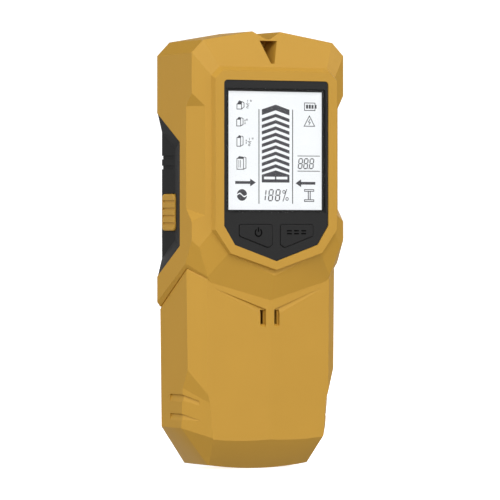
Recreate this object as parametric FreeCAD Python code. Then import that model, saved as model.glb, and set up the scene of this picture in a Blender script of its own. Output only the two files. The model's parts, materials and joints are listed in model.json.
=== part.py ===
"""Hand-held wall scanner (stud finder), upright, as an assembly of separate pieces.

Millimetres.  +X is the user's right, -Y is the screen side, +Y is the side that slides on the
wall, +Z runs up the length.  The origin is the centre of the underside of the bounding box.
Inside this file a point is given as (x, d, z), where d is the distance in front of the back edge
of the yellow shell, because the real thing is moulded and stacked up from that plane.
"""
import FreeCAD, Part
import math
import os

os.makedirs("parts", exist_ok=True)

# ---------------------------------------------------------------- driving dimensions
DEPTH = 31.7            # back edge of the shell to the face of the screen ring
PAD_PROUD = 0.8         # glide pads stand this far behind the shell
WALL = 2.2              # shell wall
GAP = 0.15              # fit between moulded pieces
BACK_Y = (DEPTH - PAD_PROUD) / 2    # y of the shell's back edge

# head (the wide upper block with the screen)
HEAD_HALF_BACK = 32.1   # half width at the back edge, the sides have a little draft
HEAD_HALF = 31.7        # half width where the side meets the bevel
HEAD_BEVEL_D = 25.5     # depth of the side / bevel edge
RING_BASE_X = 25.8      # bevels, top facet and hips reach the foot of the ring here
RING_BASE_D = 29.4
RING_BASE_TOP_Z = 145.7
HEAD_FRONT_D = 31.0     # the wall's inside is offset from this flat
LEDGE_D = 30.2          # narrow ledge under the ring's point, over the chin
ROOF_EDGE_X = 27.0      # roof ends here, then the corner chamfer
ROOF_EDGE_Z = 155.3
CORNER_Z = 150.6        # lower end of the corner chamfer
NOTCH_HALF = 5.8        # marking notch, half width at the roof
NOTCH_FLAT = 0.8        # half width of its flat bottom
NOTCH_TOP_Z = 158.9
NOTCH_LOW_Z = 156.0
POCKET = [(-0.77, 147.1), (0.77, 147.1), (3.6, 155.5), (-3.6, 155.5)]   # sighting pocket under it (x, z)
POCKET_BACK_D = 17.5
WAIST_D = 21.5          # depth of the side / bevel edge at the finger waist
WAIST_TOP_Z = 131.4
WAIST_LOW_Z = 94.5
WAIST_RUN = 4.6         # height of the facets that lead into the waist
HIP_Z = 83.0            # lower end of the plain bevel
HIP_EDGE = (25.5, 26.2, 70.0)           # lowest corner of the hip (x, d, z)
HIP_SIDE = (31.3, 21.4, 74.4)           # corner over the handle's bevel
HIP_BACK_Z = 60.5       # the head's lower edge at the back
CHIN_Z = 61.3           # the chin's point on the handle
NECK_LINE = [(30.83, -0.5, 58.5), (31.0, 20.3, 73.2), (25.5, 25.6, 69.6)]  # crease between head and handle
NECK_SIZE = (0.45, 0.9)  # depth and height of that crease

# screen ring and black panel, right half, from the top down (x, z)
RING_OUTLINE = [(22.3, 144.2), (25.3, 141.2), (25.3, 86.9), (19.0, 78.4), (0.0, 72.4)]
RING_FOOT = [(22.5, 145.7), (25.8, 142.4), (25.8, 86.7), (19.3, 78.0), (0.0, 71.9)]   # at RING_BASE_D
PANEL_OUTLINE = [(21.8, 140.9), (21.8, 88.3), (17.3, 81.4), (0.0, 75.5)]
PANEL_SHRINK = [(1.0, 1.0), (1.0, -0.7), (0.7, -0.9), (0.0, -1.1)]   # how each corner moves in, per mm
PANEL_D = 31.35         # face of the black panel, just under the ring
PANEL_CORNER = 1.4
SKIRT_BACK_D = 27.2     # back edge of the panel's skirt and flange
FLANGE_D = 28.4         # front face of that flange, behind the shell wall

# screen
VIEW_HALF = 19.6        # visible window
VIEW_LOW_Z = 94.1
VIEW_TOP_Z = 136.9
LENS_MARGIN = 1.0
LENS_T = 0.4
ADHESIVE_T = 0.05
LCD_HALF = 20.7
LCD_LOW_Z = 91.6
LCD_TOP_Z = 139.7
LCD_FRONT_D = 30.35
LCD_T = 2.3

# keys under the screen: right-hand key, (x, z)
KEY_OUTLINE = [(1.7, 88.8), (15.4, 88.8), (15.4, 84.6), (3.4, 80.4), (1.7, 81.4)]
KEY_GROW = [(-1.0, 1.0), (1.0, 1.0), (1.0, -0.7), (0.1, -1.1), (-1.0, -0.4)]   # corner offsets, per mm
KEY_CORNER = 0.9
KEY_FACE_D = 31.65
KEY_SKIRT_D = (29.3, 30.2)  # the flange that keeps the key behind the panel
KEY_SWITCH_X = 8.6
KEY_SWITCH_Z = 85.6
PLUNGER_TOP_D = 27.35

# handle
HANDLE_HALF_TOP = 31.0
HANDLE_HALF_LOW = 30.3
HANDLE_FRONT_D = 27.0   # on the centre ridge
HANDLE_EDGE_D = 25.6    # where the front meets the bevel
HANDLE_EDGE_X = 25.5
HANDLE_BEVEL_D = 20.3   # where the bevel meets the side
LOW_CUT_TOP_Z = 35.9    # top of the deeper bevel on the lower, gripped end
LOW_EDGE_TOP = (30.4, 16.6, 29.6)       # its edge with the side, upper and lower end (x, d, z)
LOW_EDGE_END = (30.3, 15.0, 15.1)
LOW_INNER_TOP = (25.2, 25.2, 26.8)      # its edge with the front
LOW_INNER_END = (24.4, 23.9, 12.3)
FOOT_CORNER_Z = LOW_EDGE_END[2]         # the outline's lower corners
FOOT_X = 20.8
FOOT_Z = 1.6            # ends of the arched bottom, whose lowest point is z = 0
FOOT_FLAT_D = 18.0      # depth of the bottom before the front chamfer
FOOT_SLOPE = 1.2        # rise of the front chamfer per millimetre of depth
FOOT_FACET = (20.8, 17.5, 1.6)          # lowest point of the facet between side and front chamfer

# side grips: window in the shell wall (d, z) and the floor of the hollow in the grip
GRIP_WINDOW = [(0.0, 129.4), (16.8, 118.6), (16.8, 81.1), (0.0, 69.8)]
GRIP_FLOOR = [(0.0, 122.5), (10.1, 116.0), (10.1, 83.3), (0.0, 76.5)]
GRIP_FLOOR_X = 30.1
GRIP_T = 1.6

# scan button in the left grip
SCAN_D = (1.5, 11.0)
SCAN_Z = (86.5, 99.9)
SCAN_PROUD = 1.0
SCAN_FLANGE_X = (-27.6, -27.0)
SCAN_RIBS = 4

# boards
MAIN_D = (21.8, 23.4)
MAIN_HALF = 27.0
MAIN_Z = (74.0, 139.0)
SENSOR_D = (4.2, 5.8)
SENSOR_HALF = 24.8
SENSOR_Z = (70.5, 139.0)
BOARD_SCREWS = [(25.0, 134.0), (25.0, 79.0)]
SENSOR_SCREWS = [(20.5, 74.0), (20.5, 135.5)]

# metal-sensing coil
COIL_Z = 118.0
COIL_R = 13.2
SPOOL_R = 9.0
FERRITE_R = 6.0
BOBBIN_R = 14.0
BOBBIN_T = 7.0
BOBBIN_WALL = 1.0

# back
COVER_D = (0.2, 2.4)
COVER_WAIST_HALF = 28.3  # the cover is narrower between the grips
COVER_WAIST_Z = (69.6, 129.6)
CASE_SCREWS = [(23.5, 146.0), (24.0, 66.0), (22.0, 17.5)]
BOSS_R = 3.1
PILOT_R = 1.05

# battery: a common 9 V block with its studs upward
BATTERY_HALF = 13.25
BATTERY_D = (2.95, 20.45)
BATTERY_Z = (11.6, 57.6)
STUD_T = 2.6
TUB_HALF = 13.9
TUB_D = 20.9
TUB_Z = (10.9, 63.6)
TUB_WALL = 1.2
DOOR_HALF = 16.8
DOOR_D = (0.2, 1.75)
DOOR_TOP_Z = 64.6
DOOR_PIVOT_Z = 10.1

# sound slots and the piezo disc behind them
SLOT_X = 2.8
SLOT_HALF = 0.75
SLOT_Z = (52.7, 57.6)
DISC_Z = 55.0
DISC_R = 10.0

REACH = 400.0           # larger than the object, for cutting away half spaces


# ---------------------------------------------------------------- drawing helpers
def at(x, d, z):
    return FreeCAD.Vector(x, BACK_Y - d, z)


def filled(points):
    return Part.Face(Part.makePolygon(points + points[:1]))


def front(points, d_low, d_high):
    """Outline in (x, z), extruded towards the user."""
    return filled([at(x, d_low, z) for x, z in points]).extrude(FreeCAD.Vector(0, d_low - d_high, 0))


def side(points, x_low, x_high):
    """Outline in (d, z), extruded to the right."""
    return filled([at(x_low, d, z) for d, z in points]).extrude(FreeCAD.Vector(x_high - x_low, 0, 0))


def block(x, d, z):
    return Part.makeBox(x[1] - x[0], d[1] - d[0], z[1] - z[0], at(x[0], d[1], z[0]))


def rod(x, z, radius, d_low, d_high):
    """Round bar along the depth."""
    return Part.makeCylinder(radius, d_high - d_low, at(x, d_low, z), FreeCAD.Vector(0, -1, 0))


def cross_rod(d, z, radius, x_low, x_high):
    """Round bar across the width."""
    return Part.makeCylinder(radius, x_high - x_low, at(x_low, d, z), FreeCAD.Vector(1, 0, 0))


def pillar(x, d, radius, z_low, z_high):
    """Round bar along the length."""
    return Part.makeCylinder(radius, z_high - z_low, at(x, d, z_low))


def mirrored(half):
    """Close a right-half outline (x, z) with its mirror image."""
    return half + [(-x, z) for x, z in reversed(half) if x > 0]


def both(values, sign):
    return (min(sign * v for v in values), max(sign * v for v in values))


def union(shapes):
    first, rest = shapes[0], shapes[1:]
    return first.fuse(rest).removeSplitter() if rest else first


def minus(shape, cutters):
    return shape.cut(list(cutters)) if cutters else shape


def past(a, b, c, inside, inset=0.0):
    """The half space past the plane a-b-c, seen from `inside`, with the plane moved inwards."""
    normal = (b - a).cross(c - a).normalize()
    if normal.dot(inside - a) > 0:
        normal = normal * -1.0
    along = (b - a).normalize()
    across = normal.cross(along)
    corner = a - normal * inset - (along + across) * (REACH / 2)
    return Part.makePlane(REACH, REACH, corner, normal, along).extrude(normal * REACH)


def rounded(shape, radius, direction):
    """Round the edges of a prism that run along `direction`."""
    edges = []
    for edge in shape.Edges:
        if isinstance(edge.Curve, Part.Line) and abs(abs(edge.Curve.Direction.dot(direction)) - 1) < 1e-6:
            edges.append(edge)
    return shape.makeFillet(radius, edges)


ALONG_D = FreeCAD.Vector(0, 1, 0)
ALONG_X = FreeCAD.Vector(1, 0, 0)
ALONG_Z = FreeCAD.Vector(0, 0, 1)
CENTRE = at(0, 8, 110)
SIDES = (-1, 1)


# ---------------------------------------------------------------- the yellow shell's form
def head_planes(sign):
    """Flat faces of one side of the head."""
    def p(x, d, z):
        return at(sign * x, d, z)

    hip_edge, hip_side = p(*HIP_EDGE), p(*HIP_SIDE)
    ring_hip = p(RING_BASE_X, 29.3, 85.5)           # top of the hip facet at the ring
    ring_low = p(19.5, 30.0, 78.0)                  # its lower end at the ring
    return [
        (p(HEAD_HALF_BACK, 0, 80), p(HEAD_HALF_BACK, 0, 120), p(HEAD_HALF, HEAD_BEVEL_D, 80)),
        (p(HEAD_HALF, HEAD_BEVEL_D, 80), p(HEAD_HALF, HEAD_BEVEL_D, 120), p(RING_BASE_X, RING_BASE_D, 80)),
        (p(HEAD_HALF, 0, CORNER_Z), p(HEAD_HALF, 20, CORNER_Z), p(ROOF_EDGE_X, 0, ROOF_EDGE_Z)),
        (p(ROOF_EDGE_X, 0, ROOF_EDGE_Z), p(ROOF_EDGE_X, 20, ROOF_EDGE_Z), p(NOTCH_HALF, 0, NOTCH_TOP_Z)),
        (p(HEAD_HALF, HEAD_BEVEL_D, CORNER_Z), p(ROOF_EDGE_X, HEAD_BEVEL_D, ROOF_EDGE_Z),
         p(RING_BASE_X, RING_BASE_D, 142.4)),
        (ring_hip, hip_edge, ring_low),
        (p(HEAD_HALF, HEAD_BEVEL_D, HIP_Z), hip_edge, hip_side),
        (hip_edge, p(0, HANDLE_FRONT_D, CHIN_Z), ring_low),
        (hip_edge, hip_side, p(HEAD_HALF_BACK, 0, HIP_BACK_Z)),
    ]


def waist_hollow(sign, inset):
    """What the finger waist takes off one front corner of the head."""
    def p(x, d, z):
        return at(sign * x, d, z)

    inner_x, inner_d = 27.7, 28.1
    grip = past(p(HEAD_HALF, WAIST_D, 80), p(HEAD_HALF, WAIST_D, 120), p(inner_x, inner_d, 80), CENTRE, inset)
    middle = p(HEAD_HALF, HEAD_BEVEL_D, (WAIST_TOP_Z + WAIST_LOW_Z) / 2)
    above = past(p(HEAD_HALF, WAIST_D, WAIST_TOP_Z), p(HEAD_HALF, HEAD_BEVEL_D, WAIST_TOP_Z + WAIST_RUN),
                 p(inner_x, inner_d, WAIST_TOP_Z), middle, -inset)
    below = past(p(HEAD_HALF, WAIST_D, WAIST_LOW_Z), p(HEAD_HALF, HEAD_BEVEL_D, WAIST_LOW_Z - WAIST_RUN),
                 p(inner_x, inner_d, WAIST_LOW_Z - WAIST_RUN / 2), middle, -inset)
    return grip.cut([above, below])


def head_form(inset=0.0):
    start_d = -5.0 if inset else 0.0
    half = HEAD_HALF_BACK + 1
    form = block((-half, half), (start_d, HEAD_FRONT_D - inset), (55.0, 162.0))
    cutters = [past(at(0, RING_BASE_D, RING_BASE_TOP_Z), at(9, RING_BASE_D, RING_BASE_TOP_Z),
                    at(0, HEAD_BEVEL_D, ROOF_EDGE_Z), CENTRE, inset)]
    for sign in SIDES:
        cutters += [past(a, b, c, CENTRE, inset) for a, b, c in head_planes(sign)]
        cutters.append(waist_hollow(sign, inset))
    return minus(form, cutters)


def under_foot(rise, d):
    """Face of everything under the arched bottom edge, lifted by `rise`, in the plane at depth d."""
    reach, low = 33.0, -30.0
    radius = (FOOT_X ** 2 + FOOT_Z ** 2) / (2 * FOOT_Z)
    end_z = radius - math.sqrt(radius ** 2 - reach ** 2) + rise
    right, left = at(reach, d, end_z), at(-reach, d, end_z)
    arc = Part.Arc(right, at(0, d, rise), left).toShape()
    corners = Part.makePolygon([left, at(-reach, d, low), at(reach, d, low), right])
    return Part.Face(Part.Wire([arc] + corners.Edges))


def handle_form(inset=0.0):
    start_d = -5.0 if inset else 0.0
    form = block((-33, 33), (start_d, 28.0), (-1.0, 76.0))
    inner = at(0, 8, 45)
    cutters = []
    for sign in SIDES:
        def p(x, d, z):
            return at(sign * x, d, z)

        planes = [
            (p(HANDLE_HALF_TOP, 0, 75), p(HANDLE_HALF_TOP, 9, 75), p(HANDLE_HALF_LOW, 0, 15)),
            (p(HANDLE_HALF_TOP - 0.1, HANDLE_BEVEL_D, 75), p(HANDLE_HALF_LOW + 0.3, HANDLE_BEVEL_D, 35),
             p(HANDLE_EDGE_X, HANDLE_EDGE_D, 60)),
            (p(0, HANDLE_FRONT_D, 0), p(0, HANDLE_FRONT_D, 60), p(HANDLE_EDGE_X, HANDLE_EDGE_D, 60)),
            (p(HANDLE_HALF_LOW, 0, FOOT_CORNER_Z), p(HANDLE_HALF_LOW, 9, FOOT_CORNER_Z),
             p(FOOT_X, 0, FOOT_Z)),
        ]
        cutters += [past(a, b, c, inner, inset) for a, b, c in planes]
        edge_top, edge_end, inner_end = p(*LOW_EDGE_TOP), p(*LOW_EDGE_END), p(*LOW_INNER_END)
        low_bevel = past(edge_end, edge_top, inner_end, inner, inset)
        shoulder = past(edge_top, p(HANDLE_HALF_LOW + 0.2, HANDLE_BEVEL_D, LOW_CUT_TOP_Z),
                        p(*LOW_INNER_TOP), edge_end, -inset)
        cutters.append(low_bevel.cut(shoulder))
        cutters.append(past(edge_end, inner_end, p(*FOOT_FACET), inner, inset))
    cutters.append(under_foot(inset, -6).extrude(FreeCAD.Vector(0, -60, 0)))
    slope_rise = inset * math.sqrt(1 + FOOT_SLOPE ** 2)
    run = 14.0
    cutters.append(under_foot(slope_rise, FOOT_FLAT_D).extrude(FreeCAD.Vector(0, -run, run * FOOT_SLOPE)))
    return minus(form, cutters)


def screen_ring():
    """Raised frame round the screen: its walls lean out towards their foot."""
    outlines = []
    for outline, d in ((RING_FOOT, RING_BASE_D), (RING_OUTLINE, DEPTH)):
        points = [at(x, d, z) for x, z in mirrored(outline)]
        outlines.append(Part.makePolygon(points + points[:1]))
    return Part.makeLoft(outlines, True, True).fuse(front(mirrored(RING_OUTLINE), 24.0, DEPTH))


def outer_form():
    head = head_form().cut(block((-HEAD_HALF, HEAD_HALF), (LEDGE_D, DEPTH), (55.0, 162.0)))
    return union([head, handle_form(), screen_ring()])


def inner_form(inset):
    return head_form(inset).fuse(handle_form(inset)).removeSplitter()


# ---------------------------------------------------------------- details of the shell
def marking_notch():
    """Shallow channel over the roof, and the deep pocket in the facet in front of it."""
    channel = front([(-NOTCH_FLAT, NOTCH_LOW_Z), (NOTCH_FLAT, NOTCH_LOW_Z), (NOTCH_HALF, NOTCH_TOP_Z),
                     (NOTCH_HALF * 1.7, NOTCH_TOP_Z + 2.4), (-NOTCH_HALF * 1.7, NOTCH_TOP_Z + 2.4),
                     (-NOTCH_HALF, NOTCH_TOP_Z)], -1.0, 33.0)
    return channel.fuse(front(POCKET, POCKET_BACK_D, 33.0))


def step_groove(start, end, outward, up, start_size, end_size):
    """A shallow groove with a sharp upper lip that runs out downwards, from start to end."""
    def section(point, depth, height):
        lip = point + outward * 1.5
        return Part.makePolygon([lip, point - outward * depth, point - up * height,
                                 point - up * height + outward * 1.5, lip])

    return Part.makeLoft([section(start, *start_size), section(end, *end_size)], True, True)


def handle_face(x, z, sign):
    """Point on the handle's front, which falls away from its centre ridge."""
    fall = (HANDLE_FRONT_D - HANDLE_EDGE_D) / HANDLE_EDGE_X
    return at(sign * x, HANDLE_FRONT_D - x * fall, z)


def chin_grooves():
    """The two grooves under the chin that fade out sideways."""
    cutters = []
    for sign in SIDES:
        outer, inner = handle_face(21.5, 65.4, sign), handle_face(2.0, 58.2, sign)
        up = (outer - inner).cross(ALONG_D).normalize()
        up = up * (1.0 if up.z > 0 else -1.0)
        cutters.append(step_groove(outer, inner, ALONG_D * -1, up, (0.08, 0.5), (0.9, 2.6)))
    return cutters


def neck_creases():
    """Sharp crease where the head meets the handle, up the side and down over the bevel."""
    cutters = []
    for sign in SIDES:
        back, corner, front_end = [at(sign * x, d, z) for x, d, z in NECK_LINE]
        for start, end, outward in ((back, corner, FreeCAD.Vector(sign, 0, 0)),
                                    (corner, front_end, FreeCAD.Vector(sign * 0.68, -0.73, 0))):
            up = (end - start).cross(outward).normalize()
            up = up * (1.0 if up.z > 0 else -1.0)
            cutters.append(step_groove(start, end, outward, up, NECK_SIZE, NECK_SIZE))
    return cutters


def sound_slots():
    cutters = []
    for sign in SIDES:
        x = both((SLOT_X - SLOT_HALF, SLOT_X + SLOT_HALF), sign)
        cutters.append(block(x, (20.0, 30.0), SLOT_Z))
        ramp = [(25.5, SLOT_Z[0]), (28.1, SLOT_Z[0] - 1.9), (28.1, SLOT_Z[1] + 1.0), (25.5, SLOT_Z[1])]
        wide = both((SLOT_X - SLOT_HALF - 0.3, SLOT_X + SLOT_HALF + 0.45), sign)
        cutters.append(side(ramp, wide[0], wide[1]))
    return cutters


def grip_grooves():
    """Two short finger grooves low on each side, over the side and down across the bevel."""
    cutters = []
    lean = (LOW_EDGE_TOP[1] - LOW_EDGE_END[1]) / (LOW_EDGE_TOP[2] - LOW_EDGE_END[2])
    for sign in SIDES:
        outward_side = FreeCAD.Vector(sign, 0, 0)
        outward_bevel = FreeCAD.Vector(sign * 0.842, -0.538, 0)
        for z in (27.3, 20.3):
            corner_d = LOW_EDGE_END[1] + (z - FOOT_CORNER_Z) * lean
            side_start, corner, bevel_end = (at(sign * 30.38, 6.8, z), at(sign * 30.36, corner_d, z),
                                             at(sign * 26.85, 22.0, z - 2.2))
            size = (0.8, 2.6)
            cutters.append(step_groove(side_start, corner, outward_side, ALONG_Z, size, size))
            cutters.append(step_groove(corner, bevel_end, outward_bevel, ALONG_Z, size, size))
    return cutters


def case_bosses():
    """Posts on the inside of the shell that the rear cover is screwed to."""
    posts = []
    for x, z in CASE_SCREWS:
        for sign in SIDES:
            posts.append(rod(sign * x, z, BOSS_R, COVER_D[1], 31.0))
    return posts


def case_pilots():
    return [rod(sign * x, z, PILOT_R, COVER_D[1], COVER_D[1] + 9.5) for x, z in CASE_SCREWS for sign in SIDES]


def board_bosses():
    return [rod(sign * x, z, 2.1, MAIN_D[1], 31.0) for x, z in BOARD_SCREWS for sign in SIDES]


def board_pilots():
    return [rod(sign * x, z, 0.8, MAIN_D[1], MAIN_D[1] + 2.6) for x, z in BOARD_SCREWS for sign in SIDES]


def panel_plug(shrink, d_low, d_high):
    """Prism in the shape of the black panel, with rounded upper corners."""
    outline = [(x - shrink * in_x, z - shrink * in_z)
               for (x, z), (in_x, in_z) in zip(PANEL_OUTLINE, PANEL_SHRINK)]
    prism = front(mirrored(outline), d_low, d_high)
    corners = []
    for edge in prism.Edges:
        middle = edge.CenterOfMass
        if abs(edge.Length - (d_high - d_low)) < 1e-6 and middle.z > 135 and abs(middle.x) > 15:
            corners.append(edge)
    return prism.makeFillet(PANEL_CORNER - shrink, corners)


def grip_window(sign, grow=0.0):
    """Opening for a side grip, as a prism through the shell's side wall."""
    outline = [(-3.0, 131.3 + grow), (0.0, 129.4 + grow), (16.8 + grow, 118.6 + grow * 0.6),
               (16.8 + grow, 81.1 - grow * 0.6), (0.0, 69.8 - grow), (-3.0, 67.8 - grow)]
    x = both((26.0, 36.0), sign)
    return side(outline, x[0], x[1])


def front_shell():
    solid_form = outer_form()
    cavity = inner_form(WALL)
    keep = [block((-9, 9), (-6, 30), (153.6, 162)), block((-6, 6), (POCKET_BACK_D - 2, 30), (144.5, 162))]
    cavity = minus(cavity, keep + case_bosses() + board_bosses())
    cutters = [cavity, marking_notch(), panel_plug(0.0, 20.0, 33.0)]
    cutters += chin_grooves() + neck_creases() + sound_slots() + grip_grooves()
    cutters += case_pilots() + board_pilots()
    cutters += [grip_window(sign) for sign in SIDES]
    shell = minus(solid_form, cutters)
    return max(shell.Solids, key=lambda solid: solid.Volume)


# ---------------------------------------------------------------- black front panel and screen
def key_prism(sign, grow, d_low, d_high):
    outline = [(x + grow * out_x, z + grow * out_z)
               for (x, z), (out_x, out_z) in zip(KEY_OUTLINE, KEY_GROW)]
    prism = front([(sign * x, z) for x, z in outline], d_low, d_high)
    return rounded(prism, KEY_CORNER, ALONG_D)


def front_panel():
    plate_d = 30.45
    body = panel_plug(0.1, SKIRT_BACK_D, PANEL_D)
    flange = panel_plug(-1.0, SKIRT_BACK_D, FLANGE_D).cut(block((-30, 30), (20, 33), (140.2, 150)))
    hollow = panel_plug(0.85, SKIRT_BACK_D - 1, plate_d)
    lens_seat_d = PANEL_D - LENS_T - ADHESIVE_T
    seat = block((-VIEW_HALF - LENS_MARGIN - 0.05, VIEW_HALF + LENS_MARGIN + 0.05), (lens_seat_d, 33),
                 (VIEW_LOW_Z - LENS_MARGIN - 0.05, VIEW_TOP_Z + LENS_MARGIN + 0.05))
    opening = block((-VIEW_HALF, VIEW_HALF), (20, 33), (VIEW_LOW_Z, VIEW_TOP_Z))
    holes = [key_prism(sign, GAP, 20, 33) for sign in SIDES]
    return minus(body.fuse(flange).removeSplitter(), [hollow, seat, opening] + holes)


def lens_box(margin, d_low, d_high):
    return block((-VIEW_HALF - margin, VIEW_HALF + margin), (d_low, d_high),
                 (VIEW_LOW_Z - margin, VIEW_TOP_Z + margin))


def window_lens():
    return lens_box(LENS_MARGIN, PANEL_D - LENS_T, PANEL_D)


def lens_adhesive():
    low = PANEL_D - LENS_T - ADHESIVE_T
    return lens_box(LENS_MARGIN, low, low + ADHESIVE_T).cut(lens_box(0, low - 1, low + 1))


def lcd_glass():
    """Two glass plates; the lower one is longer, for the contacts along its bottom edge."""
    mid = LCD_FRONT_D - LCD_T / 2
    upper = block((-LCD_HALF, LCD_HALF), (mid, LCD_FRONT_D), (LCD_LOW_Z + 1.4, LCD_TOP_Z))
    lower = block((-LCD_HALF, LCD_HALF), (LCD_FRONT_D - LCD_T, mid), (LCD_LOW_Z, LCD_TOP_Z))
    return upper.fuse(lower).removeSplitter()


def lcd_frame():
    """White carrier between board and glass: a frame with clip lugs through the board."""
    back, top = MAIN_D[1], LCD_FRONT_D - LCD_T
    ring = block((-20.7, 20.7), (back, top), (90.0, LCD_TOP_Z))
    pocket = block((-19.4, 19.4), (back - 1, top + 1), (94.4, 138.6))
    strip_slot = block((-18.5, 18.5), (back - 1, top + 1), (91.4, 93.6))
    lugs = [block(both((17.0, 19.0), sign), (MAIN_D[0] - 1.2, back), z) for sign in SIDES
            for z in ((90.2, 91.2), (138.6, 139.6))]
    return union([ring.cut([pocket, strip_slot])] + lugs)


def lcd_backlight():
    """Light guide behind the glass, with its diffuser."""
    return block((-19.3, 19.3), (MAIN_D[1] + 0.6, LCD_FRONT_D - LCD_T - 0.05), (94.5, 138.5))


def backlight_leds():
    return [block((x - 1.5, x + 1.5), (MAIN_D[1], MAIN_D[1] + 0.55), (96.0 + row * 38, 97.4 + row * 38))
            for row in (0, 1) for x in (-12, 0, 12)]


def lcd_connector():
    """Elastomer strip that joins the glass contacts to the board."""
    return block((-18.3, 18.3), (MAIN_D[1], LCD_FRONT_D - LCD_T), (91.5, 93.5))


# ---------------------------------------------------------------- keys
def key_body(sign):
    cap = key_prism(sign, 0.0, KEY_SKIRT_D[0], KEY_FACE_D)
    top_edges = []
    for edge in cap.Edges:
        if abs(edge.CenterOfMass.y - (BACK_Y - KEY_FACE_D)) < 1e-6:
            top_edges.append(edge)
    cap = cap.makeFillet(0.25, top_edges)
    skirt = key_prism(sign, 0.45, *KEY_SKIRT_D)
    stem = rod(sign * KEY_SWITCH_X, KEY_SWITCH_Z, 1.6, PLUNGER_TOP_D, KEY_SKIRT_D[0])
    return union([cap, skirt, stem])


def key_switch(sign):
    """Tact switch body on the board, hollow where its plunger runs."""
    x, z = sign * KEY_SWITCH_X, KEY_SWITCH_Z
    body = block((x - 3, x + 3), (MAIN_D[1], 26.3), (z - 3, z + 3))
    bore = rod(x, z, 1.65, 24.6, 27.0)
    return body.cut(bore)


def key_plunger(sign):
    return rod(sign * KEY_SWITCH_X, KEY_SWITCH_Z, 1.5, 25.3, PLUNGER_TOP_D)


# ---------------------------------------------------------------- side grips and scan button
def grip_hollow(sign):
    """The sunk finger hollow, open to the side."""
    mouth_x, floor_x = 31.9, GRIP_FLOOR_X
    steps = [(floor_x, GRIP_FLOOR), (mouth_x, GRIP_WINDOW), (mouth_x + 2.0, GRIP_WINDOW)]
    wires = []
    for x, outline in steps:
        (d0, z0), (d1, z1), (d2, z2), (d3, z3) = outline
        rise, fall = (z0 - z1) / d1, (z2 - z3) / d2
        points = [at(sign * x, -2.0, z0 + 2.0 * rise), at(sign * x, d1, z1), at(sign * x, d2, z2),
                  at(sign * x, -2.0, z3 - 2.0 * fall)]
        wires.append(Part.makePolygon(points + points[:1]))
    return union([Part.makeLoft(wires[0:2], True, True), Part.makeLoft(wires[1:3], True, True)])


def grip(sign):
    outline = [(0.0, 129.4 - 0.1), (16.7, 118.5), (16.7, 81.2), (0.0, 69.9)]
    x = both((GRIP_FLOOR_X - GRIP_T, 33.0), sign)
    filling = side(outline, x[0], x[1]).common(head_form(0.0))
    flange_outline = [(2.6, 129.6), (18.2, 119.6), (18.2, 80.1), (2.6, 69.8)]
    fx = both((28.1, 29.75), sign)
    flange = side(flange_outline, fx[0], fx[1]).common(head_form(WALL + 0.02))
    body = union([filling, flange]).cut(grip_hollow(sign))
    thin = [(-1.0, 121.0), (8.9, 114.6), (8.9, 84.7), (-1.0, 78.0)]
    ix = both((20.0, GRIP_FLOOR_X - GRIP_T), sign)
    body = body.cut(side(thin, ix[0], ix[1]))
    grooves = []
    for z in (113.2, 109.6):
        groove_x = both((GRIP_FLOOR_X - 0.5, GRIP_FLOOR_X + 1), sign)
        grooves.append(block(groove_x, (-1.0, 8.8), (z - 0.65, z + 0.65)))
    return minus(body, grooves)


def scan_outline(grow, x_low, x_high):
    d = (SCAN_D[0] - grow, SCAN_D[1] + grow)
    z = (SCAN_Z[0] - grow, SCAN_Z[1] + grow)
    return rounded(block((x_low, x_high), d, z), 1.6, ALONG_X)


def left_grip():
    return grip(-1).cut(scan_outline(GAP, -40, -20))


def right_grip():
    return grip(1)


def scan_button():
    face_x = -GRIP_FLOOR_X - SCAN_PROUD
    cap = scan_outline(0.0, face_x, SCAN_FLANGE_X[1])
    face_edges = [edge for edge in cap.Edges if abs(edge.CenterOfMass.x - face_x) < 1e-6]
    cap = cap.makeFillet(0.6, face_edges)
    pitch = (SCAN_Z[1] - SCAN_Z[0]) / (SCAN_RIBS + 1)
    grooves = []
    for index in range(SCAN_RIBS):
        z = SCAN_Z[0] + pitch * (index + 1)
        groove_x, groove_d = (face_x - 1, face_x + 0.45), (SCAN_D[0] + 1.0, SCAN_D[1] + 1)
        grooves.append(block(groove_x, groove_d, (z - 0.4, z + 0.4)))
    flange = block(SCAN_FLANGE_X, (SCAN_D[0] - 0.5, SCAN_D[1] + 0.5), (SCAN_Z[0] - 0.6, SCAN_Z[1] + 0.6))
    stem = block((SCAN_FLANGE_X[1], -26.1), (6.4, 9.0), (91.4, 95.0))
    return minus(union([cap, flange, stem]), grooves)


def scan_switch():
    """Side-acting tact switch on the left edge of the sensor board."""
    body = block((-24.7, -21.2), (SENSOR_D[1], 9.6), (90.2, 96.2))
    return body.cut(cross_rod(7.7, 93.2, 1.15, -25.0, -23.0))


def scan_plunger():
    return cross_rod(7.7, 93.2, 1.0, -26.1, -24.0)


# ---------------------------------------------------------------- boards
def main_board():
    outline = [(MAIN_HALF, MAIN_Z[1]), (MAIN_HALF, MAIN_Z[0] + 2.5), (MAIN_HALF - 5, MAIN_Z[0])]
    board = front(mirrored(outline), MAIN_D[0], MAIN_D[1])
    holes = [rod(sign * x, z, 1.1, 20, 30) for x, z in BOARD_SCREWS for sign in SIDES]
    lug_holes = [block(both((16.9, 19.1), sign), (20, 30), z) for sign in SIDES
                 for z in ((90.1, 91.3), (138.5, 139.8))]
    return minus(board, holes + lug_holes)


def main_chips():
    """Microcontroller, amplifier and regulator on the back of the main board."""
    back = MAIN_D[0]
    chips = [((-5, 5), 1.5, (104, 114)), ((10, 15), 1.3, (106, 112)), ((-17, -12), 1.3, (120, 125)),
             ((12, 16), 1.3, (124, 127)), ((-18, -14), 1.0, (100, 103))]
    return [block(x, (back - t, back), z) for x, t, z in chips]


def main_capacitors():
    """Two small radial capacitors, lying on the back of the board."""
    return [cross_rod(MAIN_D[0] - 2.5, z, 2.5, -8.0, 3.0) for z in (84.0, 91.0)]


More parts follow.
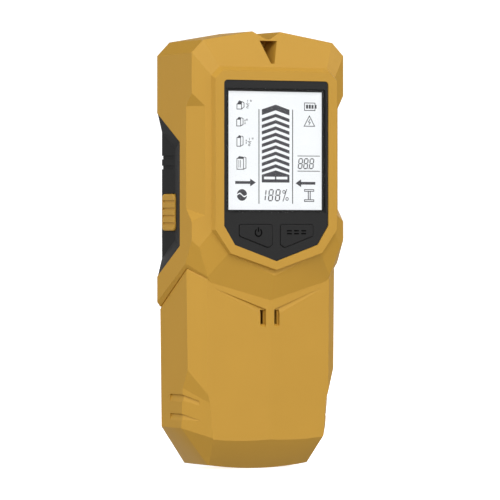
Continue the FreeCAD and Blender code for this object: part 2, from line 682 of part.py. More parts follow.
def sensor_board():
    board = block((-SENSOR_HALF, SENSOR_HALF), SENSOR_D, SENSOR_Z)
    holes = [rod(sign * x, z, 1.1, 0, 10) for x, z in SENSOR_SCREWS for sign in SIDES]
    return minus(board, holes)


def sensing_plates():
    """Row of copper plates that face the wall."""
    plates = []
    width, gap, count = 10.2, 1.2, 4
    start = -(count * width + (count - 1) * gap) / 2
    for index in range(count):
        left = start + index * (width + gap)
        plates.append(block((left, left + width), (SENSOR_D[0] - 0.1, SENSOR_D[0]), (84.0, 126.0)))
    return plates


def coil_bobbin():
    """Spool of the metal-sensing coil, standing on the sensor board."""
    base, top = SENSOR_D[1], SENSOR_D[1] + BOBBIN_T
    core = rod(0, COIL_Z, SPOOL_R, base, top)
    low = rod(0, COIL_Z, BOBBIN_R, base, base + BOBBIN_WALL)
    high = rod(0, COIL_Z, BOBBIN_R, top - BOBBIN_WALL, top)
    return union([core, low, high]).cut(rod(0, COIL_Z, FERRITE_R, base - 1, top + 1))


def metal_coil():
    base, top = SENSOR_D[1] + BOBBIN_WALL, SENSOR_D[1] + BOBBIN_T - BOBBIN_WALL
    return rod(0, COIL_Z, COIL_R, base, top).cut(rod(0, COIL_Z, SPOOL_R, base - 1, top + 1))


def ferrite_core():
    return rod(0, COIL_Z, FERRITE_R, SENSOR_D[1], SENSOR_D[1] + BOBBIN_T + 1.0)


def sensor_chips():
    front_d = SENSOR_D[1]
    spots = [((12, 18), (86, 92)), ((-16, -11), (80, 84)), ((8, 12), (76, 79))]
    return [block(x, (front_d, front_d + 1.3), z) for x, z in spots]


def board_header():
    """Ten-way pin header between the two boards."""
    return block((-12.7, 12.7), (SENSOR_D[1], MAIN_D[0]), (97.3, 99.8))


# ---------------------------------------------------------------- sound
def buzzer():
    disc = rod(0, DISC_Z, DISC_R, 22.5, 22.8)
    ceramic = rod(0, DISC_Z, DISC_R * 0.68, 22.25, 22.5)
    return disc.fuse(ceramic).removeSplitter()


def buzzer_gasket():
    ring = rod(0, DISC_Z, DISC_R, 22.8, 25.5).cut(rod(0, DISC_Z, DISC_R - 1.8, 20, 30))
    return ring.common(handle_form(WALL))


# ---------------------------------------------------------------- rear cover, door and battery
def rear_cover():
    plate = inner_form(WALL + GAP).common(block((-40, 40), COVER_D, (-2, 170)))
    trims = [block(both((COVER_WAIST_HALF, 40), sign), (-2, 5), COVER_WAIST_Z) for sign in SIDES]
    button_room = ((-30.0, SCAN_FLANGE_X[1] + 0.8), (SCAN_D[0] - 0.7, 5), (SCAN_Z[0] - 0.8, SCAN_Z[1] + 0.8))
    trims.append(block(*button_room))
    trims.append(block((-9.2, 9.2), (-2, 5), (153.4, 162)))
    plate = minus(plate, trims)
    tub = block((-TUB_HALF - TUB_WALL, TUB_HALF + TUB_WALL), (COVER_D[1] - 0.1, TUB_D + TUB_WALL),
                (TUB_Z[0] - TUB_WALL, TUB_Z[1] + TUB_WALL))
    tub = tub.common(handle_form(WALL + GAP).fuse(head_form(WALL + GAP)))
    standoffs = [rod(sign * x, z, 2.2, COVER_D[1] - 0.1, SENSOR_D[0])
                 for x, z in SENSOR_SCREWS for sign in SIDES]
    body = union([plate, tub] + standoffs)
    rebate_top = DOOR_TOP_Z + GAP
    cutters = [
        block((-TUB_HALF, TUB_HALF), (-2, TUB_D), TUB_Z),
        block((-DOOR_HALF - GAP, DOOR_HALF + GAP), (-2, DOOR_D[1] + 0.12), (DOOR_PIVOT_Z, rebate_top)),
        cross_rod(0.975, DOOR_PIVOT_Z, 0.92, -DOOR_HALF - GAP, DOOR_HALF + GAP),
        block((-DOOR_HALF - GAP, DOOR_HALF + GAP), (-2, 0.975), (DOOR_PIVOT_Z - 0.92, rebate_top)),
        cross_rod(0.975, DOOR_PIVOT_Z, 0.62, -DOOR_HALF - 1.4, DOOR_HALF + 1.4),
        block((-6, 6), (-2, 1.3), (rebate_top - 1, rebate_top + 4.5)),
        block((-4.2, 4.2), (DOOR_D[1] - 1, 5.5), (rebate_top - 1, rebate_top + 1.4)),
        block((-3.0, 3.0), (15.2, TUB_D), (TUB_Z[1] - 1, TUB_Z[1] + 3)),
    ]
    for x, z in CASE_SCREWS:
        for sign in SIDES:
            cutters.append(rod(sign * x, z, 1.5, -1, 4))
            cutters.append(rod(sign * x, z, 2.7, -1, 1.3))
    for x, z in SENSOR_SCREWS:
        for sign in SIDES:
            cutters.append(rod(sign * x, z, 0.8, 1.0, 5))
    cover = minus(body, cutters)
    return max(cover.Solids, key=lambda solid: solid.Volume)


def battery_door():
    """Snap door: it turns on two pins at its lower edge, with a sprung tongue at its top."""
    middle_d = (DOOR_D[0] + DOOR_D[1]) / 2
    half_t = (DOOR_D[1] - DOOR_D[0]) / 2
    plate = block((-DOOR_HALF, DOOR_HALF), DOOR_D, (DOOR_PIVOT_Z, DOOR_TOP_Z))
    roll = cross_rod(middle_d, DOOR_PIVOT_Z, half_t, -DOOR_HALF, DOOR_HALF)
    pins = cross_rod(middle_d, DOOR_PIVOT_Z, 0.55, -DOOR_HALF - 1.2, DOOR_HALF + 1.2)
    tongue = block((-3.8, 3.8), (DOOR_D[1] - 0.7, DOOR_D[1]), (DOOR_TOP_Z, DOOR_TOP_Z + 0.9))
    ribs = [block((-10, 10), (DOOR_D[0] - 0.35, DOOR_D[0]), (z, z + 0.9)) for z in (54.0, 56.4, 58.8, 61.2)]
    return union([plate, roll, pins, tongue] + ribs)


def battery_foam():
    return block((-7, 7), (DOOR_D[1], 2.9), (22, 46))


def battery():
    """9 V block: rounded steel can, and its two snap studs on top."""
    can = rounded(block((-BATTERY_HALF, BATTERY_HALF), BATTERY_D, BATTERY_Z), 1.6, ALONG_Z)
    middle_d = (BATTERY_D[0] + BATTERY_D[1]) / 2
    small = pillar(-6.35, middle_d, 2.8, BATTERY_Z[1], BATTERY_Z[1] + STUD_T)
    large = pillar(6.35, middle_d, 3.9, BATTERY_Z[1], BATTERY_Z[1] + STUD_T)
    return union([can, small, large])


def battery_snap():
    """Snap connector that presses on the studs."""
    middle_d = (BATTERY_D[0] + BATTERY_D[1]) / 2
    body = block((-12.8, 12.8), (BATTERY_D[0] + 2.5, BATTERY_D[1] - 2.5), (BATTERY_Z[1], 62.2))
    body = rounded(body, 3.0, ALONG_Z)
    sockets = [pillar(-6.35, middle_d, 2.8, 50, BATTERY_Z[1] + STUD_T),
               pillar(6.35, middle_d, 3.9, 50, BATTERY_Z[1] + STUD_T)]
    return minus(body, sockets)


def lead(route, radius):
    """Round wire along straight runs joined by tangent arcs."""
    edges, cursor = [], route[0]
    for index in range(1, len(route) - 1):
        here, before, after = route[index], route[index - 1], route[index + 1]
        to_before, to_after = before - here, after - here
        turn = math.pi - to_before.getAngle(to_after)
        bend = 0.45 * min(to_before.Length, to_after.Length) / math.tan(turn / 2)
        cut = bend * math.tan(turn / 2)
        start = here + to_before.normalize() * cut
        end = here + to_after.normalize() * cut
        bisector = (to_before + to_after).normalize()
        centre = here + bisector * (bend / math.cos(turn / 2))
        middle = centre - bisector * bend
        edges.append(Part.LineSegment(cursor, start).toShape())
        edges.append(Part.Arc(start, middle, end).toShape())
        cursor = end
    edges.append(Part.LineSegment(cursor, route[-1]).toShape())
    path = Part.Wire(edges)
    tangent = route[1] - route[0]
    ring = Part.Wire(Part.makeCircle(radius, route[0], tangent))
    return path.makePipeShell([ring], True, False)


def battery_lead(x):
    """Runs from the snap connector up through the tub to the back of the main board."""
    route = [at(x, 16.6, 62.2), at(x, 16.6, 67.0), at(x * 1.6, 18.0, 72.0), at(x * 1.6, 18.0, 77.0),
             at(x * 1.6, MAIN_D[0], 77.0)]
    return lead(route, 0.6)


def glide_pads():
    """Felt strips that slide on the wall."""
    pads = []
    for sign in SIDES:
        for x, z in (((6.0, 18.0), (140.0, 150.0)), ((19.3, 25.3), (24.0, 58.0))):
            pads.append(rounded(block(both(x, sign), (-PAD_PROUD, COVER_D[0]), z), 1.5, ALONG_D))
    return pads


# ---------------------------------------------------------------- screws
def screw(x, z, head_d, sign, head_r, head_t, shank_r, length):
    """Pan-head screw; `sign` is +1 when it is driven towards the front of the tool."""
    head_d_range = sorted((head_d, head_d - sign * head_t))
    shank_range = sorted((head_d, head_d + sign * length))
    head = rod(x, z, head_r, head_d_range[0], head_d_range[1])
    shank = rod(x, z, shank_r, shank_range[0], shank_range[1])
    slot_low = sorted((head_d - sign * head_t, head_d - sign * head_t * 0.5))
    recess = [block((x - head_r * 0.6, x + head_r * 0.6), slot_low, (z - 0.25, z + 0.25)),
              block((x - 0.25, x + 0.25), slot_low, (z - head_r * 0.6, z + head_r * 0.6))]
    return minus(union([head, shank]), recess)


def case_screws():
    return [screw(sign * x, z, 1.3, 1, 2.4, 1.0, PILOT_R, 9.0) for x, z in CASE_SCREWS for sign in SIDES]


def board_screws():
    return [screw(sign * x, z, MAIN_D[0], 1, 1.9, 1.1, 0.8, 3.8) for x, z in BOARD_SCREWS for sign in SIDES]


def sensor_screws():
    return [screw(sign * x, z, SENSOR_D[1], -1, 1.9, 1.1, 0.8, 4.2)
            for x, z in SENSOR_SCREWS for sign in SIDES]


# ---------------------------------------------------------------- writing the pieces
NODES = {
    "front_shell": front_shell,
    "front_panel": front_panel,
    "window_lens": window_lens,
    "lens_adhesive": lens_adhesive,
    "lcd_glass": lcd_glass,
    "lcd_frame": lcd_frame,
    "lcd_backlight": lcd_backlight,
    "backlight_leds": backlight_leds,
    "lcd_connector": lcd_connector,
    "power_key": lambda: key_body(-1),
    "mode_key": lambda: key_body(1),
    "power_switch": lambda: key_switch(-1),
    "mode_switch": lambda: key_switch(1),
    "power_switch_plunger": lambda: key_plunger(-1),
    "mode_switch_plunger": lambda: key_plunger(1),
    "left_grip": left_grip,
    "right_grip": right_grip,
    "scan_button": scan_button,
    "scan_switch": scan_switch,
    "scan_switch_plunger": scan_plunger,
    "main_board": main_board,
    "main_chips": main_chips,
    "main_capacitors": main_capacitors,
    "sensor_board": sensor_board,
    "sensing_plates": sensing_plates,
    "sensor_chips": sensor_chips,
    "coil_bobbin": coil_bobbin,
    "metal_coil": metal_coil,
    "ferrite_core": ferrite_core,
    "board_header": board_header,
    "buzzer": buzzer,
    "buzzer_gasket": buzzer_gasket,
    "rear_cover": rear_cover,
    "battery_door": battery_door,
    "battery_foam": battery_foam,
    "battery": battery,
    "battery_snap": battery_snap,
    "battery_lead_red": lambda: battery_lead(1.4),
    "battery_lead_black": lambda: battery_lead(-1.4),
    "glide_pads": glide_pads,
    "case_screws": case_screws,
    "board_screws": board_screws,
    "sensor_screws": sensor_screws,
}


def main():
    for name, make in NODES.items():
        shape = make()
        if isinstance(shape, list):
            shape = Part.makeCompound(shape)
        shape.exportStep(os.path.join("parts", name + ".step"))
        print(f"{name:22s} solids {len(shape.Solids)}  volume {shape.Volume:9.1f}  valid {shape.isValid()}")


main()
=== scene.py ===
"""Looks for the hand-held wall scanner: camera, light, materials, display segments and key marks.

Metres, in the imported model's frame: +X right, -Y out of the screen, +Z up.
"""
import json
import math

import bmesh
import bpy
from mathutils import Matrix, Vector


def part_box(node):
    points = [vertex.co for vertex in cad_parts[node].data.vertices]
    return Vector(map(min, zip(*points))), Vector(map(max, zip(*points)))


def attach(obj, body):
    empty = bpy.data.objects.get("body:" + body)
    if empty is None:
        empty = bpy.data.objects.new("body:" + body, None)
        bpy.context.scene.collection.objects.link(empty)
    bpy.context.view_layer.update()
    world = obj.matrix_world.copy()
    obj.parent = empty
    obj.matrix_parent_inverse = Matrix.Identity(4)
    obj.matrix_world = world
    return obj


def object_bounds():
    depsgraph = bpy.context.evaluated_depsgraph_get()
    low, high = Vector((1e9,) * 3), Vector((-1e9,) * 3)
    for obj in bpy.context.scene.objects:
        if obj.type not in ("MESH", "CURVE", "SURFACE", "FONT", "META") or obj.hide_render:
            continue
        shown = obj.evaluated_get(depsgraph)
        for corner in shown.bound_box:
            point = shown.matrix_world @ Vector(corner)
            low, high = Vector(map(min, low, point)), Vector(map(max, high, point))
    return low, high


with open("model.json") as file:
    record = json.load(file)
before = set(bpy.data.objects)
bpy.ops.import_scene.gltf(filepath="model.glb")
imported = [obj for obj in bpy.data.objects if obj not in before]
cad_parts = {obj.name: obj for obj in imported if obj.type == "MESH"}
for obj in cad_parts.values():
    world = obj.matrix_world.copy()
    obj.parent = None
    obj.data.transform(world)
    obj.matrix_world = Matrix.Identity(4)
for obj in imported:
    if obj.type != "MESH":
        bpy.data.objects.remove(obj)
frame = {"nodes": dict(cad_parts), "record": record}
cad_box = [list(corner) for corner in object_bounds()]

MM = 0.001
NODES = frame["nodes"]
SLOTS = {entry["node"]: entry["material_slot"] for entry in frame["record"]["subparts"]}
EDGE_ROUNDING = 0.4 * MM   # on the moulded edges of the shell and the grips
YELLOW = (0.50, 0.274, 0.036)
BLACK = (0.0105, 0.0105, 0.0107)


# ---------------------------------------------------------------- camera, light and floor
def make_camera():
    """Camera to the front left of the tool, almost level, far away with a long lens."""
    aim = Vector((-0.00145, 0.00083, 0.0795))
    distance, height = 1.54, 0.0873
    yaw = math.radians(-29.63)
    data = bpy.data.cameras.new("camera")
    data.lens = 303.6
    data.sensor_width = 36
    data.clip_start = 0.05
    data.clip_end = 60
    camera = bpy.data.objects.new("camera", data)
    camera.location = (distance * math.sin(yaw), -distance * math.cos(yaw), height)
    camera.rotation_euler = (aim - camera.location).to_track_quat("-Z", "Y").to_euler()
    bpy.context.scene.collection.objects.link(camera)
    bpy.context.scene.camera = camera


def area_light(name, place, target, side, power):
    """Square white softbox that faces the target."""
    data = bpy.data.lights.new(name, "AREA")
    data.shape = "RECTANGLE"
    data.size, data.size_y = side, side
    data.energy = power
    lamp = bpy.data.objects.new(name, data)
    lamp.location = place
    lamp.rotation_euler = (Vector(target) - Vector(place)).to_track_quat("-Z", "Y").to_euler()
    bpy.context.scene.collection.objects.link(lamp)


# Studio surround. Each row is a band of elevation, from its upward direction cosine on, with its
# brightness round the tool in five steps: behind, left, in front, right, behind.
SURROUND_BANDS = (
    (-1.0, (0.4, 0.4, 0.65, 0.5, 1.0)),
    (-0.4, (0.3, 0.7, 0.1, 0.1, 1.0)),
    (0.0, (0.6, 1.5, 2.6, 0.1, 1.25)),
    (0.3, (0.05, 1.9, 1.2, 2.2, 0.05)),
    (0.75, (0.05, 0.05, 0.05, 0.05, 0.05)),
)
SURROUND_TURNS = (-125, -50, 50, 125)   # where one step meets the next, in degrees
SURROUND_PEAK = 4.0                     # brightness of a level of 1 in the ramps
SOFT_TURN = 8                           # half width of the blend between steps, in degrees
SOFT_RISE = 0.05                        # half width of the blend between bands


def azimuth_socket(tree, split):
    """Direction round the tool as 0 to 1, with the front in the middle."""
    azimuth = tree.nodes.new("ShaderNodeMath")
    azimuth.operation = "ARCTAN2"
    flip = tree.nodes.new("ShaderNodeMath")
    flip.operation = "MULTIPLY"
    flip.inputs[1].default_value = -1.0
    tree.links.new(split.outputs["Y"], flip.inputs[0])
    tree.links.new(split.outputs["X"], azimuth.inputs[0])
    tree.links.new(flip.outputs[0], azimuth.inputs[1])
    turn = tree.nodes.new("ShaderNodeMapRange")
    turn.inputs["From Min"].default_value = -math.pi
    turn.inputs["From Max"].default_value = math.pi
    tree.links.new(azimuth.outputs[0], turn.inputs["Value"])
    return turn.outputs["Result"]


def band_socket(tree, azimuth, levels):
    """Brightness of one band round the tool, its steps softly joined."""
    ramp = tree.nodes.new("ShaderNodeValToRGB")
    ramp.color_ramp.interpolation = "EASE"
    elements = ramp.color_ramp.elements
    while len(elements) < 2 * len(SURROUND_TURNS):
        elements.new(0.5)
    for i, edge in enumerate(SURROUND_TURNS):
        for j in (0, 1):
            element = elements[2 * i + j]
            element.position = (edge + (2 * j - 1) * SOFT_TURN + 180) / 360
            level = levels[i + j] / SURROUND_PEAK
            element.color = (level, level, level, 1)
    tree.links.new(azimuth, ramp.inputs["Fac"])
    return ramp.outputs["Color"]


def stacked_socket(tree, split, below, above, start):
    """One band over another, softly joined at this upward direction cosine."""
    rise = tree.nodes.new("ShaderNodeMapRange")
    rise.interpolation_type = "SMOOTHSTEP"
    rise.inputs["From Min"].default_value = start - SOFT_RISE
    rise.inputs["From Max"].default_value = start + SOFT_RISE
    tree.links.new(split.outputs["Z"], rise.inputs["Value"])
    mix = tree.nodes.new("ShaderNodeMix")
    mix.data_type = "RGBA"
    tree.links.new(rise.outputs["Result"], mix.inputs[0])
    tree.links.new(below, mix.inputs[6])
    tree.links.new(above, mix.inputs[7])
    return mix.outputs[2]


def make_world():
    """Studio surround: brightest in front and to the left, darker overhead and low down."""
    world = bpy.data.worlds.new("studio")
    world.use_nodes = True
    tree = world.node_tree
    split = tree.nodes.new("ShaderNodeSeparateXYZ")
    tree.links.new(tree.nodes.new("ShaderNodeTexCoord").outputs["Generated"], split.inputs[0])
    azimuth = azimuth_socket(tree, split)
    total = None
    for start, levels in SURROUND_BANDS:
        band = band_socket(tree, azimuth, levels)
        total = band if total is None else stacked_socket(tree, split, total, band, start)
    background = tree.nodes["Background"]
    background.inputs["Strength"].default_value = SURROUND_PEAK
    tree.links.new(total, background.inputs["Color"])
    bpy.context.scene.world = world


def place_round(azimuth, elevation, distance):
    """Point that many metres from the tool; azimuth 0 is in front of the screen, positive right."""
    turn, rise = math.radians(azimuth), math.radians(elevation)
    level = math.cos(rise)
    return Vector((math.sin(turn) * level, -math.cos(turn) * level, math.sin(rise))) * distance


def make_light():
    """The surround and one softbox, high in front and a little to the left."""
    make_world()
    middle = Vector((0, 0, 0.08))
    area_light("key", middle + place_round(-20, 45, 1.7), middle, side=0.7, power=9.5)


def make_floor():
    """Plain white floor that the camera sees, but that throws no light back on the tool."""
    mesh = bpy.data.meshes.new("floor")
    half, clearance = 30.0, 0.1 * MM
    corners = [(-half, -half, 0), (half, -half, 0), (half, half, 0), (-half, half, 0)]
    mesh.from_pydata(corners, [], [(0, 1, 2, 3)])
    floor = bpy.data.objects.new("floor", mesh)
    bpy.context.scene.collection.objects.link(floor)
    material = bpy.data.materials.new("floor")
    material.use_nodes = True
    shader = material.node_tree.nodes["Principled BSDF"]
    shader.inputs["Base Color"].default_value = (0.8, 0.8, 0.8, 1)
    shader.inputs["Roughness"].default_value = 0.9
    shader.inputs["Specular IOR Level"].default_value = 0.1
    shader.inputs["Emission Color"].default_value = (1, 1, 1, 1)
    shader.inputs["Emission Strength"].default_value = 0.8
    mesh.materials.append(material)
    floor.location.z = cad_box[0][2] - clearance
    floor.visible_diffuse = False
    floor.visible_glossy = False


# ---------------------------------------------------------------- materials
class Recipe:
    """A node material being built: short calls that add and link nodes."""

    def __init__(self, name):
        self.material = bpy.data.materials.new(name)
        self.material.use_nodes = True
        self.tree = self.material.node_tree
        self.shader = self.tree.nodes["Principled BSDF"]
        self.place = self.add("ShaderNodeTexCoord").outputs["Object"]

    def add(self, kind, **values):
        """A new node with these attributes."""
        node = self.tree.nodes.new(kind)
        for key, value in values.items():
            setattr(node, key, value)
        return node

    def link(self, source, target):
        self.tree.links.new(source, target)

    def set(self, **values):
        """Sets inputs of the shader, with _ for the spaces in their names."""
        for key, value in values.items():
            self.shader.inputs[key.replace("_", " ")].default_value = value

    def noise(self, size, detail=3.0, roughness=0.55, distortion=0.0):
        """Noise whose lumps are about `size` metres across."""
        node = self.add("ShaderNodeTexNoise")
        self.link(self.place, node.inputs["Vector"])
        node.inputs["Scale"].default_value = 1.0 / size
        node.inputs["Detail"].default_value = detail
        node.inputs["Roughness"].default_value = roughness
        node.inputs["Distortion"].default_value = distortion
        return node.outputs["Fac"]

    def ramp(self, source, stops):
        """Colour ramp over a source; each stop is a position and a colour."""
        node = self.add("ShaderNodeValToRGB")
        elements = node.color_ramp.elements
        while len(elements) < len(stops):
            elements.new(0.5)
        for element, (position, colour) in zip(elements, stops):
            element.position = position
            element.color = (*colour, 1)
        self.link(source, node.inputs["Fac"])
        return node.outputs["Color"]

    def spread(self, source, low, high):
        """A source from 0 to 1 stretched to this range."""
        node = self.add("ShaderNodeMapRange")
        node.inputs["To Min"].default_value = low
        node.inputs["To Max"].default_value = high
        self.link(source, node.inputs["Value"])
        return node.outputs["Result"]

    def bump(self, source, height, strength=1.0, onto=None):
        """Relief of this height in metres, laid over another relief if there is one."""
        node = self.add("ShaderNodeBump")
        node.inputs["Strength"].default_value = strength
        node.inputs["Distance"].default_value = height
        self.link(source, node.inputs["Height"])
        if onto is not None:
            self.link(onto, node.inputs["Normal"])
        return node.outputs["Normal"]


def tinted(colour, factor):
    """A lighter or darker version of a colour."""
    return tuple(min(1.0, channel * factor) for channel in colour)


def moulded_plastic(name, colour, roughness=0.5, grain=0.00028, height=0.000012, specular=0.25):
    """Spark-eroded moulded texture: fine grain, faint cloudiness, uneven sheen."""
    recipe = Recipe(name)
    cloud = recipe.noise(0.02, detail=2.0)
    shade = recipe.ramp(cloud, [(0.3, tinted(colour, 0.985)), (0.7, tinted(colour, 1.015))])
    recipe.link(shade, recipe.shader.inputs["Base Color"])
    fine = recipe.noise(grain, detail=2.0, roughness=0.6)
    sheen = recipe.spread(fine, roughness - 0.05, roughness + 0.06)
    recipe.link(sheen, recipe.shader.inputs["Roughness"])
    broad = recipe.bump(recipe.noise(grain * 9, detail=1.0), height * 1.5, 0.35)
    recipe.link(recipe.bump(fine, height, 0.8, broad), recipe.shader.inputs["Normal"])
    recipe.set(Specular_IOR_Level=specular)
    return recipe.material


def painted(name, colour, roughness, metallic=0.0, grain=0.0004):
    """Painted, printed or plated surface: cloudy tone, light relief, uneven sheen."""
    recipe = Recipe(name)
    cloud = recipe.noise(grain * 6, detail=3.0)
    shade = recipe.ramp(cloud, [(0.3, tinted(colour, 0.93)), (0.7, tinted(colour, 1.06))])
    recipe.link(shade, recipe.shader.inputs["Base Color"])
    fine = recipe.noise(grain, detail=2.0)
    sheen = recipe.spread(fine, roughness - 0.06, roughness + 0.06)
    recipe.link(sheen, recipe.shader.inputs["Roughness"])
    recipe.link(recipe.bump(fine, 0.00001, 0.5), recipe.shader.inputs["Normal"])
    recipe.set(Metallic=metallic, Specular_IOR_Level=0.3)
    return recipe.material


def clear_window(name):
    """Clear acrylic: seen through, with a soft sheen of its own."""
    recipe = Recipe(name)
    recipe.set(Base_Color=(0.02, 0.02, 0.02, 1), Alpha=0.05, Specular_IOR_Level=0.3)
    fine = recipe.noise(0.0006, detail=1.0)
    recipe.link(recipe.spread(fine, 0.05, 0.09), recipe.shader.inputs["Roughness"])
    return recipe.material


def display_with_painted_glow(name):
    """Reflective display: bright and even, with a painted glow from emission that brightens it beyond
    the light that falls on it.
    """
    recipe = Recipe(name)
    cloud = recipe.noise(0.01, detail=1.0)
    shade = recipe.ramp(cloud, [(0.3, (0.39, 0.4, 0.41)), (0.7, (0.41, 0.42, 0.43))])
    recipe.link(shade, recipe.shader.inputs["Base Color"])
    recipe.link(recipe.spread(cloud, 0.2, 0.3), recipe.shader.inputs["Roughness"])
    # The emission is painted light: a glow that makes the reflective display look brightly lit.
    recipe.set(Emission_Color=(0.95, 0.98, 1.0, 1), Emission_Strength=0.66, Specular_IOR_Level=0.2)
    return recipe.material


def circuit_board(name):
    """Green solder resist over tracks, with a faint woven glass grain."""
    recipe = Recipe(name)
    brick = recipe.add("ShaderNodeTexBrick")
    recipe.link(recipe.place, brick.inputs["Vector"])
    brick.inputs["Scale"].default_value = 260
    brick.inputs["Mortar Size"].default_value = 0.03
    brick.inputs["Color1"].default_value = (0.008, 0.11, 0.045, 1)
    brick.inputs["Color2"].default_value = (0.01, 0.14, 0.055, 1)
    brick.inputs["Mortar"].default_value = (0.03, 0.22, 0.08, 1)
    recipe.link(brick.outputs["Color"], recipe.shader.inputs["Base Color"])
    recipe.link(recipe.bump(brick.outputs["Fac"], 0.00003, 0.6), recipe.shader.inputs["Normal"])
    recipe.link(recipe.spread(recipe.noise(0.001), 0.25, 0.4), recipe.shader.inputs["Roughness"])
    return recipe.material


def felt(name, colour):
    """Matted fibres, also used for soft foam."""
    recipe = Recipe(name)
    fibres = recipe.noise(0.00035, detail=6.0, roughness=0.7, distortion=2.0)
    shade = recipe.ramp(fibres, [(0.25, tinted(colour, 0.5)), (0.75, tinted(colour, 1.7))])
    recipe.link(shade, recipe.shader.inputs["Base Color"])
    recipe.link(recipe.bump(fibres, 0.00015, 1.0), recipe.shader.inputs["Normal"])
    recipe.set(Roughness=0.95, Sheen_Weight=0.3, Sheen_Roughness=0.6)
    return recipe.material


def wound_wire(name, colour):
    """Turns of enamelled wire round the coil's axis."""
    recipe = Recipe(name)
    wave = recipe.add("ShaderNodeTexWave", bands_direction="Y")
    recipe.link(recipe.place, wave.inputs["Vector"])
    wave.inputs["Scale"].default_value = 700
    wave.inputs["Distortion"].default_value = 0.4
    shade = recipe.ramp(wave.outputs["Fac"], [(0.0, tinted(colour, 0.4)), (0.6, colour)])
    recipe.link(shade, recipe.shader.inputs["Base Color"])
    recipe.link(recipe.bump(wave.outputs["Fac"], 0.00008, 1.0), recipe.shader.inputs["Normal"])
    recipe.set(Metallic=0.8, Roughness=0.3)
    return recipe.material


def make_materials():
    """One material for each slot of the record, and two for the drawn marks."""
    return {
        "yellow_shell": moulded_plastic("yellow_shell", YELLOW, 0.5),
        "yellow_button": moulded_plastic("yellow_button", YELLOW, 0.45),
        "black_panel": moulded_plastic("black_panel", BLACK, 0.42, height=0.000008),
        "black_key": moulded_plastic("black_key", tinted(BLACK, 0.9), 0.4, height=0.000006),
        "black_grip": moulded_plastic("black_grip", tinted(BLACK, 0.95), 0.55),
        "black_cover": moulded_plastic("black_cover", tinted(BLACK, 1.1), 0.5),
        "clear_window": clear_window("clear_window"),
        "clear_adhesive": painted("clear_adhesive", (0.008, 0.008, 0.008), 0.6),
        "lcd": display_with_painted_glow("lcd"),
        "segments": painted("segments", (0.075, 0.075, 0.085), 0.5, grain=0.0006),
        "key_mark": moulded_plastic("key_mark", (0.001, 0.001, 0.001), 0.5, height=0.000003,
                                    specular=0.0),
        "white_plastic": moulded_plastic("white_plastic", (0.75, 0.75, 0.73), 0.5),
        "light_guide": moulded_plastic("light_guide", (0.85, 0.88, 0.9), 0.3),
        "led": painted("led", (0.8, 0.75, 0.4), 0.2),
        "elastomer": painted("elastomer", (0.3, 0.3, 0.32), 0.8),
        "switch_black": moulded_plastic("switch_black", (0.03, 0.03, 0.03), 0.35),
        "switch_plunger": moulded_plastic("switch_plunger", (0.6, 0.6, 0.56), 0.5),
        "circuit_board": circuit_board("circuit_board"),
        "chip_black": painted("chip_black", (0.02, 0.02, 0.02), 0.6),
        "capacitor_can": painted("capacitor_can", (0.12, 0.14, 0.3), 0.3, 0.3),
        "copper": painted("copper", (0.8, 0.42, 0.22), 0.3, 1.0),
        "bobbin_plastic": moulded_plastic("bobbin_plastic", (0.6, 0.6, 0.55), 0.5),
        "copper_wire": wound_wire("copper_wire", (0.7, 0.28, 0.1)),
        "ferrite": painted("ferrite", (0.05, 0.05, 0.055), 0.5, 0.2),
        "header_plastic": moulded_plastic("header_plastic", (0.02, 0.02, 0.02), 0.5),
        "brass_disc": painted("brass_disc", (0.75, 0.55, 0.25), 0.3, 1.0),
        "foam": felt("foam", (0.04, 0.04, 0.04)),
        "battery_steel": painted("battery_steel", (0.05, 0.06, 0.09), 0.35, 0.4),
        "snap_plastic": moulded_plastic("snap_plastic", (0.02, 0.02, 0.02), 0.45),
        "wire_red": moulded_plastic("wire_red", (0.5, 0.02, 0.015), 0.4),
        "wire_black": moulded_plastic("wire_black", (0.02, 0.02, 0.02), 0.4),
        "felt": felt("felt", (0.05, 0.05, 0.055)),
        "screw_steel": painted("screw_steel", (0.55, 0.55, 0.55), 0.35, 1.0),
    }


def dress(materials):
    """Gives every CAD node the material of its slot."""
    for name, node in NODES.items():
        node.data.materials.clear()
        node.data.materials.append(materials[SLOTS[name]])


def soften(name, width):
    """Rounds the sharp edges of a CAD node with modifiers only."""
    node = NODES[name]
    weld = node.modifiers.new("weld", "WELD")
    weld.merge_threshold = 0.002 * MM
    flat = node.modifiers.new("flat", "DECIMATE")
    flat.decimate_type = "DISSOLVE"
    flat.angle_limit = math.radians(1.0)
    bevel = node.modifiers.new("bevel", "BEVEL")
    bevel.width = width
    bevel.segments = 2
    bevel.limit_method = "ANGLE"
    bevel.angle_limit = math.radians(12.0)
    bevel.miter_outer = "MITER_ARC"
    bevel.use_clamp_overlap = True


